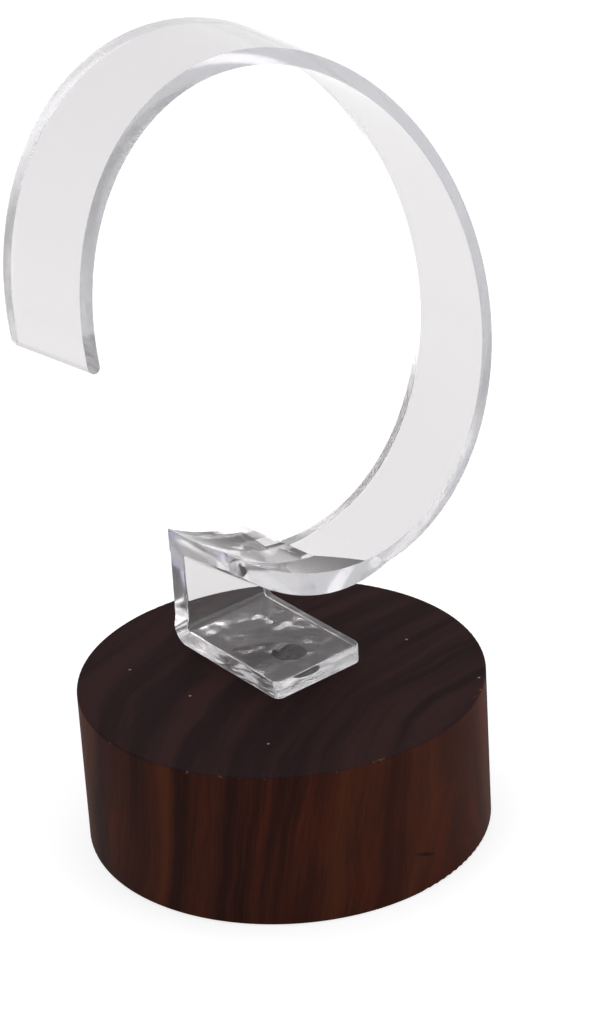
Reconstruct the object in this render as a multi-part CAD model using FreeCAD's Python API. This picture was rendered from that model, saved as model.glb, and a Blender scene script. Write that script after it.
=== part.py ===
import FreeCAD, Part
import math
import os

# A watch display stand: a round wood base with a clear, one-piece C-ring holder glued on top of it.
# Millimetres, +Z up. The origin is the centre of the base's underside. The ring's axis lies along Y,
# the open front of the ring faces -Y, and the gap of the C is on the -X side.

# Wood base
BASE_DIAMETER = 56.0
BASE_HEIGHT = 22.5
BASE_RIM_ROUND = 0.3

# Cement between the foot and the base
CEMENT_LENGTH = 5.2
CEMENT_WIDTH = 4.8
CEMENT_THICKNESS = 0.2
CEMENT_X = 2.5
CEMENT_Y = 1.1

# Foot and leg of the holder, which together make an L. The foot's sides run a little off square.
FOOT_LEFT_X = -4.1
FOOT_WIDTH = 15.3
FOOT_SLANT = 3.7
FOOT_FRONT_Y = -5.9
FOOT_THICKNESS = 2.8
FOOT_CORNER_RADIUS = 1.2
LEG_BACK_Y = 17.9
LEG_THICKNESS = 3.1
LEG_SIDE_INSET = 0.3
LEG_LEFT_TAPER_HEIGHT = 1.2
LEG_RIGHT_TAPER_HEIGHT = 10.5
HEEL_RADIUS = 2.6
HEEL_INNER_RADIUS = 0.8

# Ring of the holder: a tapered tube on a level axis, cut by two planes that lean back
RING_INNER_RADIUS = 33.45
RING_WALL = 1.9
RING_OUTER_RISE = 0.25
RING_WIDTH = 15.2
RING_LEAN = 19.7
RING_TAPER = 4.0
RING_CLEAR_OF_FOOT = 3.08
RING_FORWARD_OF_LEG = 10.11
LOWER_END_ANGLE = 230.67
FREE_END_ANGLE = 174.0
FREE_END_ROUND = 0.9
LOWER_END_ROUND = 2.0

# Thickening under the lower stretch of the ring, between the leg and the start of the plain band
KEEL_DROP = 1.22
KEEL_END_DROP = 0.4
KEEL_BLEND_ANGLE = -84.0

# Raised concave seat over the leg, which the strap rests on
SEAT_STEP = 0.97
SEAT_LENGTH = 9.9
SEAT_RISE = 4.5
SEAT_SHIFT = 4.1
SEAT_RIGHT_INSET = 1.8
SEAT_RAMP_LENGTH = 5.1
SEAT_RAMP_DROP = 3.6

# Values worked out from the sizes above
FOOT_UNDERSIDE_Z = BASE_HEIGHT + CEMENT_THICKNESS
FOOT_RIGHT_X = FOOT_LEFT_X + FOOT_WIDTH
LEG_FRONT_Y = LEG_BACK_Y - LEG_THICKNESS
FOOT_TOP_Z = FOOT_UNDERSIDE_Z + FOOT_THICKNESS
LEG_LEFT_X = FOOT_LEFT_X + LEG_SIDE_INSET
LEG_RIGHT_X = FOOT_RIGHT_X - SEAT_RIGHT_INSET
TAPER_SLOPE = math.tan(math.radians(RING_TAPER))
LEAN_SLOPE = math.tan(math.radians(RING_LEAN))
RING_REACH = RING_INNER_RADIUS + RING_WALL
RING_CENTRE_X = LEG_LEFT_X - RING_INNER_RADIUS * math.cos(math.radians(LOWER_END_ANGLE))
RING_CENTRE_Y = LEG_BACK_Y - RING_FORWARD_OF_LEG + RING_REACH * LEAN_SLOPE
RING_CENTRE_Z = FOOT_TOP_Z + RING_CLEAR_OF_FOOT + KEEL_DROP + RING_REACH - RING_OUTER_RISE
OUTER_CENTRE_Z = RING_CENTRE_Z + RING_OUTER_RISE
LOWER_END_Z = RING_CENTRE_Z + RING_INNER_RADIUS * math.sin(math.radians(LOWER_END_ANGLE))
SEAT_TOP_Z = LOWER_END_Z + SEAT_STEP

# Room that a cutting tool has beyond what it cuts, and how closely an edge is matched to its place
TOOL_MARGIN = 10.0
TOOL_OVERRUN = 0.02
MATCH = 0.01


def inner_radius_at(y):
    """Inner radius of the tapered tube at a place along its axis: it narrows toward the front."""
    return RING_INNER_RADIUS + TAPER_SLOPE * (y - RING_CENTRE_Y)


def round_bar(x, z, radius_at_y, y_front, y_back):
    """Tapered solid bar along Y, wide enough at each end for the given radius rule."""
    start = FreeCAD.Vector(x, y_front, z)
    return Part.makeCone(
        radius_at_y(y_front), radius_at_y(y_back), y_back - y_front, start, FreeCAD.Vector(0, 1, 0)
    )


def prism_along_y(points, y_front, y_back):
    """Straight-sided block with its outline given as (x, z) points."""
    corners = [FreeCAD.Vector(x, y_front, z) for x, z in points]
    face = Part.Face(Part.makePolygon(corners + corners[:1]))
    return face.extrude(FreeCAD.Vector(0, y_back - y_front, 0))


def ring_span():
    """First and last Y that the leaning ring can reach, with room for the cutting tools."""
    reach = RING_WIDTH / 2 + (RING_REACH + KEEL_DROP) * LEAN_SLOPE + TOOL_MARGIN
    return RING_CENTRE_Y - reach, RING_CENTRE_Y + reach


def leaning_slab(depth):
    """A slab of the given depth behind the ring's front face, which leans back from the vertical."""
    half = RING_REACH + TOOL_MARGIN
    shift = half * LEAN_SLOPE
    front = RING_CENTRE_Y - RING_WIDTH / 2
    outline = [
        FreeCAD.Vector(0, front - shift, RING_CENTRE_Z - half),
        FreeCAD.Vector(0, front - shift + depth, RING_CENTRE_Z - half),
        FreeCAD.Vector(0, front + shift + depth, RING_CENTRE_Z + half),
        FreeCAD.Vector(0, front + shift, RING_CENTRE_Z + half),
    ]
    for corner in outline:
        corner.x = RING_CENTRE_X - half
    face = Part.Face(Part.makePolygon(outline + outline[:1]))
    return face.extrude(FreeCAD.Vector(2 * half, 0, 0))


def keel_circle():
    """Centre and radius, at the ring's mid plane, of the circle that thickens the ring's bottom.

    It passes a little below the outer circle at its lower end, lower still halfway along, and
    meets it where the plain band begins.
    """
    end_x = LEG_LEFT_X - RING_CENTRE_X
    end_angle = math.atan2(-math.sqrt(RING_REACH ** 2 - end_x ** 2), end_x)
    blend = math.radians(KEEL_BLEND_ANGLE)
    places = [
        (end_angle, RING_REACH + KEEL_END_DROP),
        ((end_angle + blend) / 2, RING_REACH + KEEL_DROP),
        (blend, RING_REACH),
    ]
    lower, middle, upper = [
        FreeCAD.Vector(RING_CENTRE_X + reach * math.cos(a), 0, OUTER_CENTRE_Z + reach * math.sin(a))
        for a, reach in places
    ]
    circle = Part.Arc(lower, middle, upper).toShape().Curve
    return circle.Center.x, circle.Center.z, circle.Radius


def keel_bar():
    """The tapered round bar whose underside is the thickened bottom of the ring."""
    y_front, y_back = ring_span()
    x, z, radius = keel_circle()
    return round_bar(x, z, lambda y: radius + TAPER_SLOPE * (y - RING_CENTRE_Y), y_front, y_back)


def gap_of_the_c():
    """Everything that is cut away between the ring's free end and its lower end."""
    far = RING_REACH + TOOL_MARGIN
    angle = math.radians(FREE_END_ANGLE)
    left = RING_CENTRE_X + far * math.cos(angle)
    y_front, y_back = ring_span()
    return prism_along_y(
        [
            (RING_CENTRE_X, RING_CENTRE_Z),
            (left, RING_CENTRE_Z + far * math.sin(angle)),
            (left, RING_CENTRE_Z - far),
            (LEG_LEFT_X, RING_CENTRE_Z - far),
            (LEG_LEFT_X, RING_CENTRE_Z),
        ],
        y_front,
        y_back,
    )


def ring_bore():
    """The tapered space inside the ring."""
    y_front, y_back = ring_span()
    return round_bar(RING_CENTRE_X, RING_CENTRE_Z, inner_radius_at, y_front, y_back)


def ring_body():
    """The open band with its thickened bottom, before the seat and leg are joined on."""
    y_front, y_back = ring_span()
    band = round_bar(
        RING_CENTRE_X, OUTER_CENTRE_Z, lambda y: inner_radius_at(y) + RING_WALL, y_front, y_back
    )
    solid = band.fuse(keel_bar()).cut(ring_bore())
    return solid.common(leaning_slab(RING_WIDTH)).cut(gap_of_the_c())


def seat_back_circle():
    """Centre and radius of the seat's arc at its back: it passes through the seat's top left corner."""
    x = RING_CENTRE_X - SEAT_SHIFT
    z = RING_CENTRE_Z + SEAT_RISE
    return x, z, math.hypot(LEG_LEFT_X - x, SEAT_TOP_Z - z)


def seat_hollow():
    """Slanted round tool: the ring's bore at the seat's front, a higher and wider arc at its back."""
    y_front = LEG_BACK_Y - SEAT_LENGTH
    back_x, back_z, back_radius = seat_back_circle()
    front_radius = inner_radius_at(y_front)
    front = FreeCAD.Vector(RING_CENTRE_X, y_front, RING_CENTRE_Z)
    grow = FreeCAD.Vector(back_x, LEG_BACK_Y, back_z) - front
    axis = FreeCAD.Vector(0, 1, 0)
    wires = []
    for share in (-TOOL_OVERRUN, 1 + TOOL_OVERRUN):
        radius = front_radius + share * (back_radius - front_radius)
        wires.append(Part.Wire(Part.makeCircle(radius, front + grow * share, axis)))
    return Part.makeLoft(wires, True, True)


def seat_body():
    """The raised seat over the leg, with the sloping web that runs down to the ring's back edge."""
    back_x, back_z, back_radius = seat_back_circle()
    ramp_top = back_z - math.sqrt(back_radius ** 2 - (LEG_RIGHT_X - back_x) ** 2)
    ramp_foot = ramp_top - SEAT_RAMP_DROP
    block = prism_along_y(
        [
            (LEG_LEFT_X, ramp_foot),
            (LEG_LEFT_X, SEAT_TOP_Z + RING_WALL),
            (LEG_RIGHT_X, SEAT_TOP_Z + RING_WALL),
            (LEG_RIGHT_X, ramp_top),
            (LEG_RIGHT_X + SEAT_RAMP_LENGTH, ramp_foot),
            (LEG_RIGHT_X + SEAT_RAMP_LENGTH, ramp_foot - RING_WALL),
            (LEG_RIGHT_X, ramp_foot - RING_WALL),
        ],
        LEG_BACK_Y - SEAT_LENGTH,
        LEG_BACK_Y,
    )
    behind_the_front_face = leaning_slab(RING_WIDTH + SEAT_LENGTH)
    return block.common(keel_bar()).common(behind_the_front_face).cut(seat_hollow())


def foot_plan():
    """Tall block with the foot's outline in plan: its sides slant to the left towards the front."""
    slant = (LEG_BACK_Y - FOOT_FRONT_Y) * math.tan(math.radians(FOOT_SLANT))
    plan = [
        FreeCAD.Vector(FOOT_LEFT_X, LEG_BACK_Y, 0),
        FreeCAD.Vector(FOOT_LEFT_X - slant, FOOT_FRONT_Y, 0),
        FreeCAD.Vector(FOOT_RIGHT_X - slant, FOOT_FRONT_Y, 0),
        FreeCAD.Vector(FOOT_RIGHT_X, LEG_BACK_Y, 0),
    ]
    return Part.Face(Part.makePolygon(plan + plan[:1])).extrude(FreeCAD.Vector(0, 0, RING_CENTRE_Z))


def foot_and_leg():
    """The L of foot and leg: its outline is drawn in the YZ plane, run along X and cut to its plan."""
    top = SEAT_TOP_Z + RING_WALL
    bottom = FOOT_UNDERSIDE_Z
    heel = HEEL_RADIUS
    inner = HEEL_INNER_RADIUS
    bend = math.sqrt(0.5)

    def point(y, z):
        return FreeCAD.Vector(FOOT_LEFT_X - TOOL_MARGIN, y, z)

    def arc(start, middle, end):
        return Part.Arc(start, middle, end).toShape()

    heel_middle = point(LEG_BACK_Y - heel * (1 - bend), bottom + heel * (1 - bend))
    inner_middle = point(LEG_FRONT_Y - inner * (1 - bend), FOOT_TOP_Z + inner * (1 - bend))
    corners = [
        point(FOOT_FRONT_Y, FOOT_TOP_Z),
        point(FOOT_FRONT_Y, bottom),
        point(LEG_BACK_Y - heel, bottom),
        point(LEG_BACK_Y, bottom + heel),
        point(LEG_BACK_Y, top),
        point(LEG_FRONT_Y, top),
        point(LEG_FRONT_Y, FOOT_TOP_Z + inner),
        point(LEG_FRONT_Y - inner, FOOT_TOP_Z),
    ]
    edges = [
        Part.makeLine(corners[0], corners[1]),
        Part.makeLine(corners[1], corners[2]),
        arc(corners[2], heel_middle, corners[3]),
        Part.makeLine(corners[3], corners[4]),
        Part.makeLine(corners[4], corners[5]),
        Part.makeLine(corners[5], corners[6]),
        arc(corners[6], inner_middle, corners[7]),
        Part.makeLine(corners[7], corners[0]),
    ]
    run = FreeCAD.Vector(FOOT_WIDTH + 2 * TOOL_MARGIN, 0, 0)
    solid = Part.Face(Part.Wire(edges)).extrude(run).common(foot_plan())
    return solid.makeFillet(FOOT_CORNER_RADIUS, front_upright_edges(solid))


def front_upright_edges(solid):
    """The two upright edges at the foot's front corners."""
    found = []
    for edge in solid.Edges:
        box = edge.BoundBox
        upright = box.ZLength > FOOT_THICKNESS / 2 and max(box.XLength, box.YLength) < MATCH
        if upright and abs(box.YMin - FOOT_FRONT_Y) < MATCH:
            found.append(edge)
    return found


def leg_side_trim():
    """Wedges that narrow the leg from the foot's width to the width under the seat."""
    y_front = LEG_FRONT_Y - TOOL_MARGIN
    y_back = LEG_BACK_Y + TOOL_MARGIN
    left_wedge = prism_along_y(
        [
            (FOOT_LEFT_X, FOOT_TOP_Z),
            (LEG_LEFT_X, FOOT_TOP_Z + LEG_LEFT_TAPER_HEIGHT),
            (LEG_LEFT_X, RING_CENTRE_Z),
            (FOOT_LEFT_X - TOOL_MARGIN, RING_CENTRE_Z),
            (FOOT_LEFT_X - TOOL_MARGIN, FOOT_TOP_Z),
        ],
        y_front,
        y_back,
    )
    right_wedge = prism_along_y(
        [
            (FOOT_RIGHT_X, FOOT_TOP_Z),
            (LEG_RIGHT_X, FOOT_TOP_Z + LEG_RIGHT_TAPER_HEIGHT),
            (LEG_RIGHT_X, RING_CENTRE_Z),
            (FOOT_RIGHT_X + TOOL_MARGIN, RING_CENTRE_Z),
            (FOOT_RIGHT_X + TOOL_MARGIN, FOOT_TOP_Z),
        ],
        y_front,
        y_back,
    )
    return left_wedge.fuse(right_wedge)


def behind_the_leg():
    """The space behind the leg's back face, where the ring's lower end is trimmed flush."""
    left = LEG_LEFT_X - TOOL_MARGIN
    right = FOOT_RIGHT_X + SEAT_RAMP_LENGTH
    return Part.makeBox(
        right - left,
        RING_WIDTH,
        SEAT_TOP_Z + RING_REACH / 2 - FOOT_UNDERSIDE_Z,
        FreeCAD.Vector(left, LEG_BACK_Y, FOOT_UNDERSIDE_Z),
    )


def free_end_edges(solid):
    """The two long edges of the free end, on the inside and the outside of the band."""
    angle = math.radians(FREE_END_ANGLE)
    across = FreeCAD.Vector(-math.sin(angle), 0, math.cos(angle))
    centre = FreeCAD.Vector(RING_CENTRE_X, 0, RING_CENTRE_Z)
    found = []
    for edge in solid.Edges:
        on_end = all(abs((vertex.Point - centre).dot(across)) < MATCH for vertex in edge.Vertexes)
        on_left = edge.BoundBox.XMax < RING_CENTRE_X
        if on_end and on_left and edge.BoundBox.YLength > RING_WIDTH / 2:
            found.append(edge)
    return found


def lower_end_corner():
    """What rounding takes off the corner between the lower end and the ring's front face."""
    lean = math.radians(RING_LEAN)
    along = FreeCAD.Vector(0, math.sin(lean), math.cos(lean))
    inward = FreeCAD.Vector(0, math.cos(lean), -math.sin(lean))
    across = FreeCAD.Vector(1, 0, 0)
    length = RING_REACH
    front = RING_CENTRE_Y - RING_WIDTH / 2 - RING_REACH * LEAN_SLOPE
    start = FreeCAD.Vector(LEG_LEFT_X, front, RING_CENTRE_Z - RING_REACH) - along * TOOL_MARGIN
    corner = start - (across + inward) * TOOL_OVERRUN
    reach = LOWER_END_ROUND + TOOL_OVERRUN
    wire = [corner, corner + across * reach, corner + (across + inward) * reach, corner + inward * reach]
    block = Part.Face(Part.makePolygon(wire + wire[:1])).extrude(along * length)
    axis_start = start + (across + inward) * LOWER_END_ROUND
    return block.cut(Part.makeCylinder(LOWER_END_ROUND, length, axis_start, along))


def c_ring_holder():
    """The whole clear moulding: ring, seat, leg and foot as one solid."""
    bracket = foot_and_leg().cut(leg_side_trim()).cut(seat_hollow()).cut(ring_bore())
    ring = ring_body().cut(behind_the_leg())
    ring = ring.makeFillet(FREE_END_ROUND, free_end_edges(ring))
    ring = ring.fuse(seat_body()).cut(lower_end_corner())
    return ring.fuse(bracket).removeSplitter()


def wood_base():
    """Turned block with slightly softened rims."""
    block = Part.makeCylinder(BASE_DIAMETER / 2, BASE_HEIGHT)
    rims = [edge for edge in block.Edges if edge.BoundBox.ZLength < MATCH]
    return block.makeFillet(BASE_RIM_ROUND, rims)


def cement_spot():
    """Pressed-out oval of clear cement that holds the foot."""
    centre = FreeCAD.Vector(CEMENT_X, CEMENT_Y, BASE_HEIGHT)
    halves = [FreeCAD.Vector(CEMENT_WIDTH / 2, 0, 0), FreeCAD.Vector(0, CEMENT_LENGTH / 2, 0)]
    shorter, longer = sorted(halves, key=lambda half: half.Length)
    oval = Part.Ellipse(centre + longer, centre + shorter, centre)
    face = Part.Face(Part.Wire([oval.toShape()]))
    return face.extrude(FreeCAD.Vector(0, 0, CEMENT_THICKNESS))


def main():
    os.makedirs("parts", exist_ok=True)
    nodes = {
        "wood_base": wood_base(),
        "c_ring_holder": c_ring_holder(),
        "cement_spot": cement_spot(),
    }
    for name, shape in nodes.items():
        box = shape.BoundBox
        print(
            name, "solids", len(shape.Solids), "valid", shape.isValid(),
            "volume %.1f" % shape.Volume,
            "box %.2f %.2f %.2f to %.2f %.2f %.2f"
            % (box.XMin, box.YMin, box.ZMin, box.XMax, box.YMax, box.ZMax),
        )
        shape.exportStep("parts/" + name + ".step")


main()
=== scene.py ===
import math

import bmesh
import bpy
from mathutils import Matrix, Vector


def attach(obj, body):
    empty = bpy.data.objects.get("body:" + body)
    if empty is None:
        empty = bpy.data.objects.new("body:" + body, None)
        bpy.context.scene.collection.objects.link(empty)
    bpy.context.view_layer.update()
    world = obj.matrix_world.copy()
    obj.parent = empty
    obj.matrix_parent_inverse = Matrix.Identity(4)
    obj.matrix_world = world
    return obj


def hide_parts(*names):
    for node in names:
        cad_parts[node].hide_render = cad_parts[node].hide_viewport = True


# A watch display stand: a dark stained walnut base, and a clear moulded acrylic C-ring cemented to its top.
# Metres, in the frame of the CAD model: +Z up, the origin in the centre of the base's underside.

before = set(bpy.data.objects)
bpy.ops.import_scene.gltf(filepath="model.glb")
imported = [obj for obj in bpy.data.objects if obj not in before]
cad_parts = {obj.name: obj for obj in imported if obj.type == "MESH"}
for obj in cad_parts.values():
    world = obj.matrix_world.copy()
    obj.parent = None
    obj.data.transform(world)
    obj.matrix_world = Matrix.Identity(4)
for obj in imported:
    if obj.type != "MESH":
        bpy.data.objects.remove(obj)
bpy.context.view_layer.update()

MM = 0.001

# The camera of the photograph, fitted to the outlines of the stand: metres, degrees, and millimetres for the lens
CAMERA_PLACE = (-0.24897, -0.30776, 0.23982)
CAMERA_HEADING = 39.551
CAMERA_PITCH = 25.918
CAMERA_ROLL = -3.580
CAMERA_LENS = 117.04
CAMERA_SENSOR = 36.0

# Floor and room, in metres. Both are seen whiter than they light the stand, and the walls darken upwards.
FLOOR_RADIUS = 3.0
FLOOR_DROP = 0.00005
FLOOR_COLOUR = "#E6E6E6"
FLOOR_SEEN_GREY = 0.5
FLOOR_SEEN_GLOW = 0.68
ROOM_LIGHT = 0.75
ROOM_COLOURS = ((0.15, "#FFFFFF"), (0.8, "#C4C4C6"))
LIGHTS_AIM = Vector((0, 0, 0.04))
LIGHT_BOUNCES = 40

# Walnut base, in millimetres and degrees. The tree's centre lies in front of the block and to its right, so its
# growth rings cross the top as arcs. The trunk leans, and so do the streaks on the block's side. The streaks are
# matched to the photograph, and the growth lines and pores are as wide as walnut's usually are. Each row of colours
# runs from the grain's darkest to its palest.
BASE_RADIUS = 28.0
BASE_TOP_Z = 22.5
PITH_X = 16.2
PITH_Y = -55.6
TRUNK_LEAN = 8.0
TRUNK_LEAN_HEADING = 39.551
GROWTH_BEND = 3.5
GROWTH_BEND_LENGTH = 25.0
CHANGE_ROUND_TRUNK = 0.06
CHANGE_ALONG_TRUNK = 0.03
STREAK_WIDTH = 4.0
STREAK_PICK = 12.0
GROWTH_LINE_WIDTH = 1.0
GROWTH_LINE_SHARE = 0.27
PORE_WIDTH = 0.25
PORE_LENGTH = 6.25
PORE_SHARE = 0.15
PORE_DEPTH = 0.1
SIDE_COLOURS = ((0.37, "#1F0E0A"), (0.49, "#301610"), (0.64, "#432214"))
TOP_COLOURS = ((0.42, "#1F1213"), (0.58, "#2E1B1B"))
RED_PATCH_WIDTH = 9.09
RED_PATCH_COLOUR = "#4A1E11"
KNOT_PLACE = (0.0, -28.0, 5.6)
KNOT_SIZE = (2.4, 1.0, 0.35)
KNOT_TURN = 23.0
KNOT_COLOUR = "#140806"
CHIP_WIDTH = 0.909
CHIP_COLOUR = "#71503B"
DUST_SPACING = 6.25
DUST_RADIUS = 0.219
DUST_CORE = 0.125
DUST_SHARE = 0.2
DUST_COLOUR = "#A08A70"
WALNUT_ROUGHNESS = (0.6, 0.8)
WALNUT_SHINE = 0.05

# Acrylic, in millimetres. The haze, the dullness and the wave of the foot's underside are matched to the
# photograph, and aren't measured.
ACRYLIC_IOR = 1.49
ACRYLIC_CLARITY = 0.965
ACRYLIC_TINT = "#DFDDDE"
# the darker grey of the ring's narrow sides is painted shade
ACRYLIC_NARROW_PAINTED_SHADE = "#BAB9BD"
ACRYLIC_SHADOW = 0.9
# a painted violet reflection, in patches, on the face of the ring's lower end
PAINTED_VIOLET_REFLECTION = "#B4B1D2"
VIOLET_PATCH_WIDTH = 5.0
VIOLET_REACH = 9.0
POLISHED_ROUGHNESS = 0.02
NARROW_ROUGHNESS = 0.18
LEG_SIDES_ADDED_ROUGHNESS = 0.14
LEG_SIDES_TOP_Z = 41.0
UNDERSIDE_ADDED_ROUGHNESS = 0.1
UNDERSIDE_WAVE_LENGTH = 7.69
UNDERSIDE_WAVE_DEPTH = 1.25

# Cement under the foot, in millimetres. It rises a hair into the foot, as cement wets what it joins. Its outline
# has shallow waves, each with a depth as a share of the radius, a count round the spot and a turn in radians.
CEMENT_PLACE = (2.5, 1.1)
CEMENT_SIZE = (4.8, 5.2)
CEMENT_BOTTOM_Z = 22.5
CEMENT_TOP_Z = 22.72
CEMENT_WAVES = ((0.05, 3, 0.8), (0.04, 5, 0.0))
CEMENT_CLOUD_WIDTH = 1.667
CEMENT_COLOURS = ((0.4, "#0E0808"), (0.65, "#241616"))
CEMENT_ROUGHNESS = 0.2
CEMENT_SHINE = 0.2

# The clear holder, in millimetres and degrees. Its round forms are cut in more facets than the CAD model's,
# because each one would show in the refraction.
FACETS = 720
ROUND_FACETS = 24
EDGE_FACETS = 12
SMOOTH_UNDER = 9.0
SHARP_OVER = 40.0

RING_INNER_RADIUS = 33.45
RING_WALL = 1.9
RING_OUTER_RISE = 0.25
RING_WIDTH = 15.2
RING_LEAN = math.tan(math.radians(19.7))
RING_TAPER = math.tan(math.radians(4.0))
RING_CENTRE = Vector((17.4, 20.447, 64.9))
RING_REACH = RING_INNER_RADIUS + RING_WALL
LOWER_END_X = -3.8
LOWER_END_ANGLE = 230.67
LOWER_END_ROUND = 2.0
LOWER_END_MIDDLE = Vector((-3.8, 10.6, 38.5))
FREE_END_ANGLE = 174.0
FREE_END_ROUND = 0.9

KEEL_CENTRE_X = 14.2
KEEL_CENTRE_Z = 55.05
KEEL_RADIUS = 25.99

SEAT_STEP = 0.97
SEAT_FRONT_Y = 8.0
SEAT_BACK_X = 13.3
SEAT_BACK_Z = 69.4
SEAT_RIGHT_X = 9.4
SEAT_RAMP_LENGTH = 5.1
SEAT_RAMP_DROP = 3.6

FOOT_LEFT_X = -4.1
FOOT_WIDTH = 15.3
FOOT_SLANT = math.tan(math.radians(3.7))
FOOT_FRONT_Y = -5.9
FOOT_UNDERSIDE_Z = 22.7
FOOT_TOP_Z = 25.5
FOOT_CORNER_RADIUS = 1.2
LEG_BACK_Y = 17.9
LEG_THICKNESS = 3.1
LEG_LEFT_TAPER_TOP_Z = 26.7
LEG_RIGHT_TAPER_TOP_Z = 36.0
HEEL_RADIUS = 2.6
HEEL_INNER_RADIUS = 0.8
EDGE_ROUND = 0.25

# How far the cutting tools reach past what they cut, a long way and by a hair, and the distance at which two
# corners are one
PAST = 12.0
HAIR = 0.05
SAME_PLACE = 0.0005


def linear(colour):
    """Linear colour of an sRGB hex value."""
    parts = [int(colour[i:i + 2], 16) / 255 for i in (1, 3, 5)]
    return (*[c / 12.92 if c <= 0.04045 else ((c + 0.055) / 1.055) ** 2.4 for c in parts], 1.0)


def grey(level):
    """Linear grey, from 0 for black to 1 for white."""
    return level, level, level, 1.0


def add(tree, kind, links=None, stops=(), **settings):
    """Adds a node to a tree. links gives each input, by name or number, a value or a socket that feeds it.

    The inputs of a maths node go by number, as do the two colours of a Mix, which are 6 and 7.
    stops gives a colour ramp its places and sRGB colours.
    """
    made = tree.nodes.new(kind)
    for name, value in settings.items():
        setattr(made, name, value)
    for number, (place, colour) in enumerate(stops):
        elements = made.color_ramp.elements
        element = elements[number] if number < len(elements) else elements.new(place)
        element.position = place
        element.color = linear(colour)
    for name, value in (links or {}).items():
        socket = made.inputs[name]
        if isinstance(value, bpy.types.NodeSocket):
            tree.links.new(value, socket)
        else:
            socket.default_value = value
    return made


def new_material(name):
    """An empty material and its tree of nodes."""
    made = bpy.data.materials.new(name)
    made.use_nodes = True
    made.node_tree.nodes.clear()
    return made, made.node_tree


def new_object(name, shape):
    """An object of the finished shape, which is used up."""
    mesh = bpy.data.meshes.new(name)
    shape.to_mesh(mesh)
    shape.free()
    made = bpy.data.objects.new(name, mesh)
    bpy.context.scene.collection.objects.link(made)
    return made


def dress(piece, material):
    """Puts the material in each of the piece's slots."""
    if not piece.material_slots:
        piece.data.materials.append(material)
    for place in piece.material_slots:
        place.material = material


def photo_camera():
    """The camera that sees the stand as the photograph does."""
    heading = math.radians(CAMERA_HEADING)
    pitch = math.radians(CAMERA_PITCH)
    roll = math.radians(CAMERA_ROLL)
    forward = Vector((math.sin(heading) * math.cos(pitch), math.cos(heading) * math.cos(pitch), -math.sin(pitch)))
    level_right = Vector((math.cos(heading), -math.sin(heading), 0))
    level_up = level_right.cross(forward)
    right = math.cos(roll) * level_right + math.sin(roll) * level_up
    up = math.cos(roll) * level_up - math.sin(roll) * level_right
    data = bpy.data.cameras.new("photo_camera")
    data.lens = CAMERA_LENS
    data.sensor_width = CAMERA_SENSOR
    data.clip_start = 0.01
    data.clip_end = 20
    made = bpy.data.objects.new("photo_camera", data)
    bpy.context.scene.collection.objects.link(made)
    made.matrix_world = Matrix.Translation(CAMERA_PLACE) @ Matrix((right, up, -forward)).transposed().to_4x4()
    bpy.context.scene.camera = made


def softbox(name, place, size, power):
    """A square studio light that faces the middle of the stand, in metres and watts. The camera doesn't see it."""
    data = bpy.data.lights.new(name, "AREA")
    data.shape = "SQUARE"
    data.size = size
    data.energy = power
    made = bpy.data.objects.new(name, data)
    bpy.context.scene.collection.objects.link(made)
    made.location = place
    made.rotation_euler = (LIGHTS_AIM - Vector(place)).to_track_quat("-Z", "Y").to_euler()
    made.visible_camera = False


def seen_rays(tree):
    """1 for rays that show the surroundings: to the camera, and by reflection or through clear plastic."""
    path = add(tree, "ShaderNodeLightPath")
    some = add(tree, "ShaderNodeMath", {0: path.outputs["Is Camera Ray"], 1: path.outputs["Is Glossy Ray"]},
               operation="MAXIMUM")
    return add(tree, "ShaderNodeMath", {0: some.outputs[0], 1: path.outputs["Is Transmission Ray"]},
               operation="MAXIMUM").outputs[0]


def floor():
    """Round white floor. It is matt, and where it is seen a glow brings it to white around the stand's shadow."""
    shape = bmesh.new()
    bmesh.ops.create_circle(shape, cap_ends=True, segments=64, radius=FLOOR_RADIUS)
    bmesh.ops.translate(shape, verts=shape.verts, vec=(0, 0, -FLOOR_DROP))
    made = new_object("floor", shape)
    material, tree = new_material("matt white studio floor")
    plain = add(tree, "ShaderNodeBsdfDiffuse", {"Color": linear(FLOOR_COLOUR)})
    shaded = add(tree, "ShaderNodeBsdfDiffuse", {"Color": grey(FLOOR_SEEN_GREY)})
    glow = add(tree, "ShaderNodeEmission", {"Color": grey(1.0), "Strength": FLOOR_SEEN_GLOW})
    seen = add(tree, "ShaderNodeAddShader", {0: shaded.outputs[0], 1: glow.outputs[0]})
    mixed = add(tree, "ShaderNodeMixShader", {0: seen_rays(tree), 1: plain.outputs[0], 2: seen.outputs[0]})
    add(tree, "ShaderNodeOutputMaterial", {"Surface": mixed.outputs[0]})
    dress(made, material)


def surroundings():
    """White walls that darken towards the ceiling."""
    world = bpy.data.worlds.new("studio")
    bpy.context.scene.world = world
    world.use_nodes = True
    tree = world.node_tree
    tree.nodes.clear()
    direction = add(tree, "ShaderNodeTexCoord").outputs["Generated"]
    height = add(tree, "ShaderNodeSeparateXYZ", {"Vector": direction}).outputs["Z"]
    colour = add(tree, "ShaderNodeValToRGB", {"Fac": height}, stops=ROOM_COLOURS).outputs["Color"]
    strength = add(tree, "ShaderNodeMapRange", {"Value": seen_rays(tree), "To Min": ROOM_LIGHT}).outputs[0]
    back = add(tree, "ShaderNodeBackground", {"Color": colour, "Strength": strength})
    add(tree, "ShaderNodeOutputWorld", {"Surface": back.outputs[0]})


def prism(outline, run):
    """Straight block: a flat outline pushed along run."""
    shape = bmesh.new()
    face = shape.faces.new([shape.verts.new(point) for point in outline])
    pushed = bmesh.ops.extrude_face_region(shape, geom=[face])["geom"]
    bmesh.ops.translate(shape, verts=[part for part in pushed if isinstance(part, bmesh.types.BMVert)], vec=run)
    bmesh.ops.recalc_face_normals(shape, faces=shape.faces)
    return shape


def outline_in_xz(points, y):
    """The corners of an outline that is drawn in X and Z and stands at y."""
    return [(x, y, z) for x, z in points]


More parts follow.
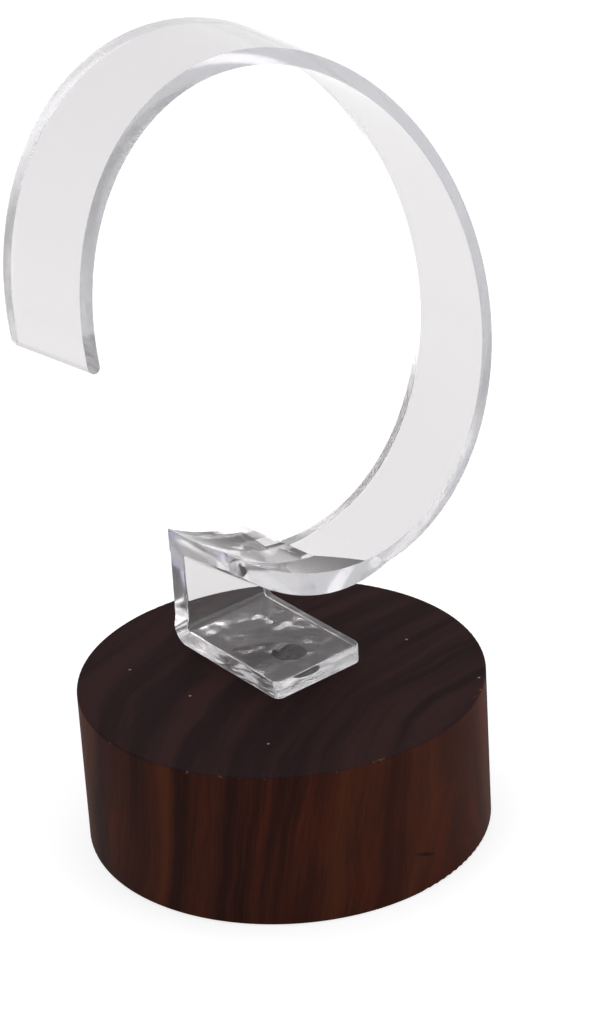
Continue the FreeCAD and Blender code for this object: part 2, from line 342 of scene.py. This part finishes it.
def tapered_bar(x, z, radius):
    """Long round bar along Y. The radius is that at the ring's mid width, and it narrows toward the front."""
    length = 2 * (RING_REACH + PAST)
    change = RING_TAPER * length / 2
    shape = bmesh.new()
    bmesh.ops.create_cone(
        shape, cap_ends=True, segments=FACETS, depth=length, radius1=radius - change, radius2=radius + change,
        matrix=Matrix.Translation((x, RING_CENTRE.y, z)) @ Matrix.Rotation(math.radians(-90), 4, "X"),
    )
    return shape


def combine(first, second, operation):
    """Joins or cuts two closed shapes, and uses them both up."""
    used = [new_object("tool", shape) for shape in (first, second)]
    step = used[0].modifiers.new("combine", "BOOLEAN")
    step.operation = operation
    step.solver = "EXACT"
    step.object = used[1]
    result = bmesh.new()
    result.from_object(used[0], bpy.context.evaluated_depsgraph_get())
    bmesh.ops.remove_doubles(result, verts=result.verts, dist=SAME_PLACE)
    for tool in used:
        mesh = tool.data
        bpy.data.objects.remove(tool)
        bpy.data.meshes.remove(mesh)
    return result


def seat_heights():
    """Height of the seat's top at the back left, of the ramp's top and of the ramp's foot."""
    end_z = RING_CENTRE.z + RING_INNER_RADIUS * math.sin(math.radians(LOWER_END_ANGLE))
    top = end_z + SEAT_STEP
    radius = math.hypot(LOWER_END_X - SEAT_BACK_X, top - SEAT_BACK_Z)
    ramp_top = SEAT_BACK_Z - math.sqrt(radius ** 2 - (SEAT_RIGHT_X - SEAT_BACK_X) ** 2)
    return top, ramp_top, ramp_top - SEAT_RAMP_DROP


def ring_and_web():
    """Solid round of the ring and its keel, cut to the leaning ring and the web that runs back to the leg."""
    top, _, ramp_foot = seat_heights()
    half = RING_REACH + PAST
    front = RING_CENTRE.y - RING_WIDTH / 2
    left = RING_CENTRE.x - half
    slab = prism([
        (left, front - half * RING_LEAN, RING_CENTRE.z - half),
        (left, front - half * RING_LEAN + RING_WIDTH, RING_CENTRE.z - half),
        (left, front + half * RING_LEAN + RING_WIDTH, RING_CENTRE.z + half),
        (left, front + half * RING_LEAN, RING_CENTRE.z + half),
    ], (2 * half, 0, 0))
    ramp_end = SEAT_RIGHT_X + SEAT_RAMP_LENGTH
    slope = RING_WALL / (SEAT_RIGHT_X - LOWER_END_X)
    web = prism(outline_in_xz([
        (LOWER_END_X - PAST, ramp_foot + slope * PAST),
        (LOWER_END_X - PAST, top + RING_WALL),
        (ramp_end, top + RING_WALL),
        (ramp_end, ramp_foot - RING_WALL),
        (SEAT_RIGHT_X, ramp_foot - RING_WALL),
    ], LEG_BACK_Y - PAST), (0, 2 * PAST, 0))
    round_part = combine(
        tapered_bar(RING_CENTRE.x, RING_CENTRE.z + RING_OUTER_RISE, RING_REACH),
        tapered_bar(KEEL_CENTRE_X, KEEL_CENTRE_Z, KEEL_RADIUS), "UNION",
    )
    return combine(round_part, combine(slab, web, "UNION"), "INTERSECT")


def ring_inside():
    """The space inside the ring, less the raised seat with its hollow top."""
    top, ramp_top, ramp_foot = seat_heights()
    hollow = bmesh.new()
    bmesh.ops.create_cone(hollow, cap_ends=True, segments=FACETS, radius1=1, radius2=1, depth=2,
                          matrix=Matrix.Rotation(math.radians(-90), 4, "X"))
    front_radius = RING_INNER_RADIUS + RING_TAPER * (SEAT_FRONT_Y - RING_CENTRE.y)
    back_radius = math.hypot(LOWER_END_X - SEAT_BACK_X, top - SEAT_BACK_Z)
    front = Vector((RING_CENTRE.x, SEAT_FRONT_Y, RING_CENTRE.z))
    back = Vector((SEAT_BACK_X, LEG_BACK_Y, SEAT_BACK_Z))
    front_rim = [vert for vert in hollow.verts if vert.co.y < 0]
    back_rim = [vert for vert in hollow.verts if vert.co.y > 0]
    for rim, share in ((front_rim, -HAIR), (back_rim, 1 + PAST / RING_REACH)):
        radius = front_radius + share * (back_radius - front_radius)
        bmesh.ops.scale(hollow, verts=rim, vec=(radius, 0, radius))
        bmesh.ops.translate(hollow, verts=rim, vec=front.lerp(back, share))
    seat = prism(outline_in_xz([
        (LOWER_END_X - PAST, ramp_foot - PAST),
        (LOWER_END_X - PAST, top + 2 * RING_WALL),
        (SEAT_RIGHT_X, top + 2 * RING_WALL),
        (SEAT_RIGHT_X, ramp_top),
        (SEAT_RIGHT_X + SEAT_RAMP_LENGTH, ramp_foot),
        (SEAT_RIGHT_X + SEAT_RAMP_LENGTH, ramp_foot - PAST),
    ], SEAT_FRONT_Y + 2 * HAIR), (0, LEG_BACK_Y - SEAT_FRONT_Y + PAST / 4, 0))
    bore = tapered_bar(RING_CENTRE.x, RING_CENTRE.z, RING_INNER_RADIUS)
    return combine(bore, combine(seat, hollow, "DIFFERENCE"), "DIFFERENCE")


def round_edges(shape, radius, along, test):
    """Rounds the straight edges that run nearly along the given axis and whose two ends both pass the test."""
    nearly = 0.9
    edges = []
    for edge in shape.edges:
        run = edge.verts[1].co - edge.verts[0].co
        if abs(run[along]) > nearly * run.length and all(test(vert.co) for vert in edge.verts):
            edges.append(edge)
    bmesh.ops.bevel(shape, geom=edges, offset=radius, segments=ROUND_FACETS, profile=0.5, affect="EDGES",
                    material=-1)


def foot_and_leg():
    """The L of the foot and the leg: rounded heel, front corners and edges, and a leg that narrows upwards."""
    top = seat_heights()[0] + HAIR
    leg_front = LEG_BACK_Y - LEG_THICKNESS
    shape = prism([
        (FOOT_LEFT_X, FOOT_FRONT_Y, FOOT_UNDERSIDE_Z),
        (FOOT_LEFT_X, LEG_BACK_Y, FOOT_UNDERSIDE_Z),
        (FOOT_LEFT_X, LEG_BACK_Y, top),
        (FOOT_LEFT_X, leg_front, top),
        (FOOT_LEFT_X, leg_front, FOOT_TOP_Z),
        (FOOT_LEFT_X, FOOT_FRONT_Y, FOOT_TOP_Z),
    ], (FOOT_WIDTH, 0, 0))
    round_edges(shape, HEEL_RADIUS, 0,
                lambda place: place.y > LEG_BACK_Y - HAIR and place.z < FOOT_UNDERSIDE_Z + HAIR)
    round_edges(shape, HEEL_INNER_RADIUS, 0,
                lambda place: abs(place.y - leg_front) < HAIR and abs(place.z - FOOT_TOP_Z) < HAIR)
    for height in (LEG_LEFT_TAPER_TOP_Z, LEG_RIGHT_TAPER_TOP_Z):
        bmesh.ops.bisect_plane(shape, geom=shape.verts[:] + shape.edges[:] + shape.faces[:],
                               plane_co=(0, 0, height), plane_no=(0, 0, 1))
    for vert in shape.verts:
        on_left = vert.co.x < FOOT_LEFT_X + FOOT_WIDTH / 2
        taper_top = LEG_LEFT_TAPER_TOP_Z if on_left else LEG_RIGHT_TAPER_TOP_Z
        share = min(max((vert.co.z - FOOT_TOP_Z) / (taper_top - FOOT_TOP_Z), 0), 1)
        slanted = vert.co.x + (vert.co.y - LEG_BACK_Y) * FOOT_SLANT
        side_of_leg = LOWER_END_X + HAIR / 10 if on_left else SEAT_RIGHT_X
        vert.co.x = slanted + (side_of_leg - slanted) * share
    round_edges(shape, FOOT_CORNER_RADIUS, 2, lambda place: place.y < FOOT_FRONT_Y + HAIR)
    sharp = [edge for edge in shape.edges if edge.calc_face_angle(0) > math.radians(SHARP_OVER)
             and any(vert.co.z < top - HAIR for vert in edge.verts)]
    bmesh.ops.bevel(shape, geom=sharp, offset=EDGE_ROUND, segments=EDGE_FACETS, profile=0.5, affect="EDGES",
                    material=-1, clamp_overlap=False)
    return shape


def gap_of_the_c():
    """The open left side of the ring, down past its lower end."""
    far = RING_REACH + PAST
    angle = math.radians(FREE_END_ANGLE)
    left = RING_CENTRE.x + far * math.cos(angle)
    return prism(outline_in_xz([
        (RING_CENTRE.x, RING_CENTRE.z),
        (left, RING_CENTRE.z + far * math.sin(angle)),
        (left, FOOT_TOP_Z + HEEL_RADIUS),
        (LOWER_END_X, FOOT_TOP_Z + HEEL_RADIUS),
        (LOWER_END_X, RING_CENTRE.z),
    ], RING_CENTRE.y - far), (0, 2 * far, 0))


def behind_the_leg():
    """The space behind the leg's flat back, where the ring's lower end is trimmed flush to a few microns."""
    left = LOWER_END_X - PAST
    right = FOOT_LEFT_X + FOOT_WIDTH + SEAT_RAMP_LENGTH
    low = FOOT_TOP_Z + HEEL_RADIUS
    high = RING_CENTRE.z - HEEL_RADIUS
    corners = [(left, low), (right, low), (right, high), (left, high)]
    return prism(outline_in_xz(corners, LEG_BACK_Y + HAIR / 10), (0, PAST, 0))


def rounding(start, run, first, second, radius):
    """What rounding takes off a sharp corner that runs from start along run, between two faces.

    first and second point from the corner along its two faces.
    """
    corner = start - (first + second) * HAIR
    reach = radius + HAIR
    block = prism([
        corner,
        corner + first * reach,
        corner + (first + second) * reach,
        corner + second * reach,
    ], run)
    rod = bmesh.new()
    axis = start + (first + second) * radius + run / 2
    bmesh.ops.create_cone(
        rod, cap_ends=True, segments=4 * ROUND_FACETS, radius1=radius, radius2=radius, depth=run.length + PAST,
        matrix=Matrix.Translation(axis) @ run.to_track_quat("Z", "Y").to_matrix().to_4x4(),
    )
    return combine(block, rod, "DIFFERENCE")


def end_roundings():
    """The corner tools of the ring's lower end, at its front, and of its free end, inside and outside."""
    upward = Vector((0, RING_LEAN, 1)).normalized()
    inward = Vector((0, 1, -RING_LEAN)).normalized()
    low_z = FOOT_TOP_Z + HEEL_RADIUS
    front_y = RING_CENTRE.y - RING_WIDTH / 2 + (low_z - RING_CENTRE.z) * RING_LEAN
    corner = Vector((LOWER_END_X, front_y, low_z))
    tools = [rounding(corner, upward * 2 * PAST, Vector((1, 0, 0)), inward, LOWER_END_ROUND)]
    angle = math.radians(FREE_END_ANGLE)
    out = Vector((math.cos(angle), 0, math.sin(angle)))
    round_the_ring = Vector((math.sin(angle), 0, -math.cos(angle)))
    along = Vector((0, 1, 0)) + out * RING_TAPER
    outer_radius = RING_REACH + RING_OUTER_RISE * math.sin(angle)
    for radius, side in ((RING_INNER_RADIUS, 1), (outer_radius, -1)):
        place = RING_CENTRE + out * radius - along * 2 * PAST
        to_wall = (out - along * (out.dot(along) / along.length_squared)).normalized() * side
        tools.append(rounding(place, along * 4 * PAST, round_the_ring, to_wall, FREE_END_ROUND))
    return tools


def clear_holder(material):
    """The one-piece clear moulding, in the CAD node's place: ring, web, leg and foot, then its hollows and ends."""
    shape = combine(ring_and_web(), foot_and_leg(), "UNION")
    for tool in [ring_inside(), gap_of_the_c(), behind_the_leg()] + end_roundings():
        shape = combine(shape, tool, "DIFFERENCE")
    bmesh.ops.scale(shape, verts=shape.verts, vec=(MM, MM, MM))
    for face in shape.faces:
        face.smooth = True
    for edge in shape.edges:
        edge.smooth = edge.calc_face_angle(math.pi) < math.radians(SMOOTH_UNDER)
    made = new_object("clear_holder", shape)
    flats = made.modifiers.new("flat faces stay flat", "WEIGHTED_NORMAL")
    flats.keep_sharp = True
    dress(made, material)
    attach(made, "root")
    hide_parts("c_ring_holder")


def walnut():
    """Dark stained walnut, turned and oiled: matt, red-brown streaks on the side, near-black end grain on top."""
    material, tree = new_material("dark stained walnut")
    coords = add(tree, "ShaderNodeTexCoord").outputs["Object"]
    block = add(tree, "ShaderNodeMapping", {"Vector": coords, "Scale": (1 / MM,) * 3}).outputs[0]
    lean = math.radians(TRUNK_LEAN)
    heading = math.radians(TRUNK_LEAN_HEADING)
    trunk = add(tree, "ShaderNodeMapping", {
        "Vector": block,
        "Rotation": (-lean * math.sin(heading), -lean * math.cos(heading), 0),
        "Location": (-PITH_X, -PITH_Y, 0),
    }).outputs[0]

    # growth rings: the distance from the tree's centre, a little bent, and drawn out along and round the trunk
    warp = add(tree, "ShaderNodeTexNoise",
               {"Vector": trunk, "Scale": 1 / GROWTH_BEND_LENGTH, "Detail": 2.0}).outputs["Color"]
    warp = add(tree, "ShaderNodeVectorMath", {0: warp, 1: (0.5, 0.5, 0.5)}, operation="SUBTRACT").outputs[0]
    bent = add(tree, "ShaderNodeVectorMath", {0: warp, 1: (2 * GROWTH_BEND, 2 * GROWTH_BEND, 0), 2: trunk},
               operation="MULTIPLY_ADD").outputs[0]
    across = add(tree, "ShaderNodeVectorMath", {0: bent, 1: (1, 1, 0)}, operation="MULTIPLY").outputs[0]
    radius = add(tree, "ShaderNodeVectorMath", {0: across}, operation="LENGTH").outputs["Value"]
    parts = add(tree, "ShaderNodeSeparateXYZ", {"Vector": bent})
    rings = add(tree, "ShaderNodeCombineXYZ", {
        "X": radius,
        "Y": add(tree, "ShaderNodeMath", {0: parts.outputs["X"], 1: CHANGE_ROUND_TRUNK},
                 operation="MULTIPLY").outputs[0],
        "Z": add(tree, "ShaderNodeMath", {0: parts.outputs["Z"], 1: CHANGE_ALONG_TRUNK},
                 operation="MULTIPLY").outputs[0],
    }).outputs[0]
    streaks = add(tree, "ShaderNodeTexNoise",
                  {"Vector": rings, "W": STREAK_PICK, "Scale": 1 / STREAK_WIDTH, "Detail": 1.0, "Roughness": 0.5},
                  noise_dimensions="4D").outputs["Fac"]
    lines = add(tree, "ShaderNodeTexNoise",
                {"Vector": rings, "Scale": 1 / GROWTH_LINE_WIDTH, "Detail": 2.0, "Roughness": 0.5}).outputs["Fac"]
    drawn_out = add(tree, "ShaderNodeMapping",
                    {"Vector": trunk, "Scale": (1 / PORE_WIDTH, 1 / PORE_WIDTH, 1 / PORE_LENGTH)}).outputs[0]
    pores = add(tree, "ShaderNodeTexNoise", {"Vector": drawn_out, "Scale": 1.0, "Detail": 2.0}).outputs["Fac"]
    grain = add(tree, "ShaderNodeMix", {"Factor": GROWTH_LINE_SHARE, "A": streaks, "B": lines},
                data_type="FLOAT").outputs[0]
    grain = add(tree, "ShaderNodeMix", {"Factor": PORE_SHARE, "A": grain, "B": pores}, data_type="FLOAT").outputs[0]
    side = add(tree, "ShaderNodeValToRGB", {"Fac": grain}, stops=SIDE_COLOURS).outputs["Color"]
    top = add(tree, "ShaderNodeValToRGB", {"Fac": grain}, stops=TOP_COLOURS).outputs["Color"]

    # redder patches between the dark streaks, two and a half times as long as they are wide
    patches = add(tree, "ShaderNodeTexNoise", {
        "Vector": add(tree, "ShaderNodeMapping", {"Vector": trunk, "Scale": (1, 1, 0.4)}).outputs[0],
        "Scale": 1 / RED_PATCH_WIDTH, "Detail": 1.0,
    }).outputs["Fac"]
    red = add(tree, "ShaderNodeMath", {
        0: add(tree, "ShaderNodeMapRange",
               {"Value": patches, "From Min": 0.48, "From Max": 0.68, "To Max": 0.6}).outputs[0],
        1: add(tree, "ShaderNodeMapRange", {"Value": grain, "From Min": 0.44, "From Max": 0.54}).outputs[0],
    }, operation="MULTIPLY").outputs[0]
    side = add(tree, "ShaderNodeMix", {"Factor": red, 6: side, 7: linear(RED_PATCH_COLOUR)},
               data_type="RGBA").outputs[2]

    # one pin knot, cut along its length: a short dark dash low on the front
    knot = add(tree, "ShaderNodeMapping", {
        "Vector": block, "Location": KNOT_PLACE, "Rotation": (0, math.radians(KNOT_TURN), 0), "Scale": KNOT_SIZE,
    }, vector_type="TEXTURE").outputs[0]
    knot = add(tree, "ShaderNodeVectorMath", {0: knot}, operation="LENGTH").outputs["Value"]
    knot = add(tree, "ShaderNodeMapRange",
               {"Value": knot, "From Min": 1.0, "From Max": 0.4, "To Max": 0.75}).outputs[0]
    side = add(tree, "ShaderNodeMix", {"Factor": knot, 6: side, 7: linear(KNOT_COLOUR)},
               data_type="RGBA").outputs[2]

    # the side's colours on upright faces, and the end grain's on level ones
    normal = add(tree, "ShaderNodeSeparateXYZ", {"Vector": add(tree, "ShaderNodeNewGeometry").outputs["Normal"]})
    level = add(tree, "ShaderNodeMath", {0: normal.outputs["Z"]}, operation="ABSOLUTE").outputs[0]
    level = add(tree, "ShaderNodeMapRange", {"Value": level, "From Min": 0.3, "From Max": 0.8}).outputs[0]
    colour = add(tree, "ShaderNodeMix", {"Factor": level, 6: side, 7: top}, data_type="RGBA").outputs[2]

    # small chips in the last half millimetre of the upper rim, where the stain has gone
    height = add(tree, "ShaderNodeSeparateXYZ", {"Vector": block}).outputs["Z"]
    outward = add(tree, "ShaderNodeVectorMath", {0: block, 1: (1, 1, 0)}, operation="MULTIPLY").outputs[0]
    outward = add(tree, "ShaderNodeVectorMath", {0: outward}, operation="LENGTH").outputs["Value"]
    rim = add(tree, "ShaderNodeMath", {
        0: add(tree, "ShaderNodeMapRange",
               {"Value": height, "From Min": BASE_TOP_Z - 0.4, "From Max": BASE_TOP_Z - 0.1}).outputs[0],
        1: add(tree, "ShaderNodeMapRange",
               {"Value": outward, "From Min": BASE_RADIUS - 0.5, "From Max": BASE_RADIUS - 0.2}).outputs[0],
    }, operation="MULTIPLY").outputs[0]
    chips = add(tree, "ShaderNodeTexNoise", {"Vector": block, "Scale": 1 / CHIP_WIDTH, "Detail": 2.0}).outputs["Fac"]
    chips = add(tree, "ShaderNodeMapRange",
                {"Value": chips, "From Min": 0.66, "From Max": 0.72, "To Max": 0.7}).outputs[0]
    chips = add(tree, "ShaderNodeMath", {0: rim, 1: chips}, operation="MULTIPLY").outputs[0]
    colour = add(tree, "ShaderNodeMix", {"Factor": chips, 6: colour, 7: linear(CHIP_COLOUR)},
                 data_type="RGBA").outputs[2]

    # a few specks of dust on the top
    cells = add(tree, "ShaderNodeTexVoronoi", {"Vector": block, "Scale": 1 / DUST_SPACING}, voronoi_dimensions="2D")
    chance = add(tree, "ShaderNodeSeparateXYZ", {"Vector": cells.outputs["Color"]}).outputs["X"]
    chosen = add(tree, "ShaderNodeMath", {0: chance, 1: 1 - DUST_SHARE}, operation="GREATER_THAN").outputs[0]
    speck = add(tree, "ShaderNodeMapRange", {
        "Value": cells.outputs["Distance"], "From Min": DUST_RADIUS / DUST_SPACING,
        "From Max": DUST_CORE / DUST_SPACING, "To Max": 0.8,
    }).outputs[0]
    speck = add(tree, "ShaderNodeMath", {0: speck, 1: chosen}, operation="MULTIPLY").outputs[0]
    speck = add(tree, "ShaderNodeMath", {0: speck, 1: level}, operation="MULTIPLY").outputs[0]
    colour = add(tree, "ShaderNodeMix", {"Factor": speck, 6: colour, 7: linear(DUST_COLOUR)},
                 data_type="RGBA").outputs[2]

    # the pores make a fine relief, and the wood is duller in some places than in others
    bump = add(tree, "ShaderNodeBump", {"Height": pores, "Strength": 0.4, "Distance": PORE_DEPTH * MM}).outputs[0]
    roughness = add(tree, "ShaderNodeMapRange",
                    {"Value": pores, "To Min": WALNUT_ROUGHNESS[0], "To Max": WALNUT_ROUGHNESS[1]}).outputs[0]
    surface = add(tree, "ShaderNodeBsdfPrincipled", {
        "Base Color": colour, "Roughness": roughness, "Specular IOR Level": WALNUT_SHINE, "Normal": bump,
    })
    add(tree, "ShaderNodeOutputMaterial", {"Surface": surface.outputs[0]})
    return material


def acrylic():
    """Clear acrylic, moulded and handled: polished broad faces with a trace of haze, duller narrow sides darkened by
    painted shade, and a painted violet reflection on the ring's lower end.
    """
    material, tree = new_material("clear moulded acrylic")
    coords = add(tree, "ShaderNodeTexCoord").outputs["Object"]
    height = add(tree, "ShaderNodeSeparateXYZ", {"Vector": coords}).outputs["Z"]
    normal = add(tree, "ShaderNodeNewGeometry").outputs["True Normal"]
    sideways = add(tree, "ShaderNodeSeparateXYZ", {"Vector": normal}).outputs["X"]

    # the ring's narrow sides, which face along its leaning axis, are duller, and their darker grey is painted shade
    axis = Vector((0, 1, -RING_LEAN)).normalized()
    narrow = add(tree, "ShaderNodeVectorMath", {0: normal, 1: axis}, operation="DOT_PRODUCT").outputs["Value"]
    narrow = add(tree, "ShaderNodeMath", {0: narrow}, operation="ABSOLUTE").outputs[0]
    narrow = add(tree, "ShaderNodeMapRange", {"Value": narrow, "From Min": 0.97, "From Max": 0.99}).outputs[0]
    tint_with_painted_light = add(tree, "ShaderNodeMix",
               {"Factor": narrow, 6: linear(ACRYLIC_TINT), 7: linear(ACRYLIC_NARROW_PAINTED_SHADE)},
               data_type="RGBA").outputs[2]
    roughness = add(tree, "ShaderNodeMapRange",
                    {"Value": narrow, "To Min": POLISHED_ROUGHNESS, "To Max": NARROW_ROUGHNESS}).outputs[0]

    # the left and right sides of the leg and the foot are dull too
    upright = add(tree, "ShaderNodeMath", {0: sideways}, operation="ABSOLUTE").outputs[0]
    sides = add(tree, "ShaderNodeMath", {
        0: add(tree, "ShaderNodeMapRange", {"Value": upright, "From Min": 0.9, "From Max": 0.98}).outputs[0],
        1: add(tree, "ShaderNodeMapRange", {
            "Value": height, "From Min": LEG_SIDES_TOP_Z * MM, "From Max": (LEG_SIDES_TOP_Z - 2) * MM,
        }).outputs[0],
    }, operation="MULTIPLY").outputs[0]
    roughness = add(tree, "ShaderNodeMath", {0: sides, 1: LEG_SIDES_ADDED_ROUGHNESS, 2: roughness},
                    operation="MULTIPLY_ADD").outputs[0]

    # a painted violet reflection, in patches, on the face of the ring's lower end
    away = add(tree, "ShaderNodeVectorMath", {0: coords, 1: LOWER_END_MIDDLE * MM},
               operation="DISTANCE").outputs["Value"]
    violet = add(tree, "ShaderNodeMath", {
        0: add(tree, "ShaderNodeMapRange", {"Value": sideways, "From Min": -0.6, "From Max": -0.9}).outputs[0],
        1: add(tree, "ShaderNodeMapRange",
               {"Value": away, "From Min": VIOLET_REACH * MM, "From Max": (VIOLET_REACH - 1) * MM}).outputs[0],
    }, operation="MULTIPLY").outputs[0]
    patches = add(tree, "ShaderNodeTexNoise",
                  {"Vector": coords, "Scale": 1 / (VIOLET_PATCH_WIDTH * MM), "Detail": 0.0}).outputs["Fac"]
    patches = add(tree, "ShaderNodeMapRange", {"Value": patches, "From Min": 0.4, "From Max": 0.6}).outputs[0]
    violet = add(tree, "ShaderNodeMath", {0: violet, 1: patches}, operation="MULTIPLY").outputs[0]
    tint_with_painted_light = add(tree, "ShaderNodeMix", {"Factor": violet, 6: tint_with_painted_light, 7: linear(PAINTED_VIOLET_REFLECTION)},
               data_type="RGBA").outputs[2]

    # the foot's underside is dull and wavy, so it mirrors the room in some places and shows the wood in others
    underside = add(tree, "ShaderNodeMapRange", {
        "Value": height, "From Min": (FOOT_UNDERSIDE_Z + 0.7) * MM, "From Max": (FOOT_UNDERSIDE_Z + 0.2) * MM,
    }).outputs[0]
    roughness = add(tree, "ShaderNodeMath", {0: underside, 1: UNDERSIDE_ADDED_ROUGHNESS, 2: roughness},
                    operation="MULTIPLY_ADD").outputs[0]
    waves = add(tree, "ShaderNodeTexNoise",
                {"Vector": coords, "Scale": 1 / (UNDERSIDE_WAVE_LENGTH * MM), "Detail": 2.0}).outputs["Fac"]
    wavy = add(tree, "ShaderNodeBump",
               {"Height": waves, "Strength": underside, "Distance": UNDERSIDE_WAVE_DEPTH * MM}).outputs[0]
    surface = add(tree, "ShaderNodeBsdfPrincipled", {
        "Base Color": tint_with_painted_light, "Roughness": roughness, "IOR": ACRYLIC_IOR, "Transmission Weight": ACRYLIC_CLARITY,
        "Normal": wavy,
    })

    # most of the lamps' light goes straight through, so the shadow is as faint as a clear thing's
    lit_through = add(tree, "ShaderNodeBsdfTransparent", {"Color": grey(ACRYLIC_SHADOW)})
    path = add(tree, "ShaderNodeLightPath")
    mixed = add(tree, "ShaderNodeMixShader",
                {0: path.outputs["Is Shadow Ray"], 1: surface.outputs[0], 2: lit_through.outputs[0]})
    add(tree, "ShaderNodeOutputMaterial", {"Surface": mixed.outputs[0]})
    return material


def cement():
    """Set acrylic cement on stained wood: it wets the wood, so the eye sees the stain, deeper and softly glossy."""
    material, tree = new_material("set acrylic cement")
    coords = add(tree, "ShaderNodeTexCoord").outputs["Object"]
    cloud = add(tree, "ShaderNodeTexNoise",
                {"Vector": coords, "Scale": 1 / (CEMENT_CLOUD_WIDTH * MM), "Detail": 2.0}).outputs["Fac"]
    colour = add(tree, "ShaderNodeValToRGB", {"Fac": cloud}, stops=CEMENT_COLOURS).outputs["Color"]
    surface = add(tree, "ShaderNodeBsdfPrincipled",
                  {"Base Color": colour, "Roughness": CEMENT_ROUGHNESS, "Specular IOR Level": CEMENT_SHINE})
    add(tree, "ShaderNodeOutputMaterial", {"Surface": surface.outputs[0]})
    return material


def pressed_cement(material):
    """The spot of cement pressed out under the foot, in the CAD node's place: a thin oval with an uneven edge."""
    shape = bmesh.new()
    height = CEMENT_TOP_Z - CEMENT_BOTTOM_Z
    bmesh.ops.create_cone(shape, cap_ends=True, segments=96, radius1=0.5, radius2=0.5, depth=height)
    for vert in shape.verts:
        angle = math.atan2(vert.co.y, vert.co.x)
        spread = 1 - sum(depth * (1 + math.sin(count * angle + turn)) / 2 for depth, count, turn in CEMENT_WAVES)
        vert.co.x *= CEMENT_SIZE[0] * spread
        vert.co.y *= CEMENT_SIZE[1] * spread
    bmesh.ops.translate(shape, verts=shape.verts, vec=(*CEMENT_PLACE, CEMENT_BOTTOM_Z + height / 2))
    bmesh.ops.scale(shape, verts=shape.verts, vec=(MM, MM, MM))
    made = new_object("pressed_cement", shape)
    dress(made, material)
    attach(made, "root")
    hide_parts("cement_spot")


bpy.context.scene.view_settings.view_transform = "Standard"
# light goes back and forth inside the clear holder many times
bpy.context.scene.cycles.max_bounces = LIGHT_BOUNCES
bpy.context.scene.cycles.transmission_bounces = LIGHT_BOUNCES
bpy.context.scene.cycles.glossy_bounces = LIGHT_BOUNCES

photo_camera()
surroundings()
floor()
softbox("left_softbox", place=(-0.75, -0.05, 0.45), size=0.5, power=1.2)
softbox("right_softbox", place=(0.45, -0.65, 0.45), size=0.9, power=3.2)
softbox("top_softbox", place=(0.1, 0.25, 0.9), size=0.6, power=2.0)
dress(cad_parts["wood_base"], walnut())
clear_holder(acrylic())
pressed_cement(cement())
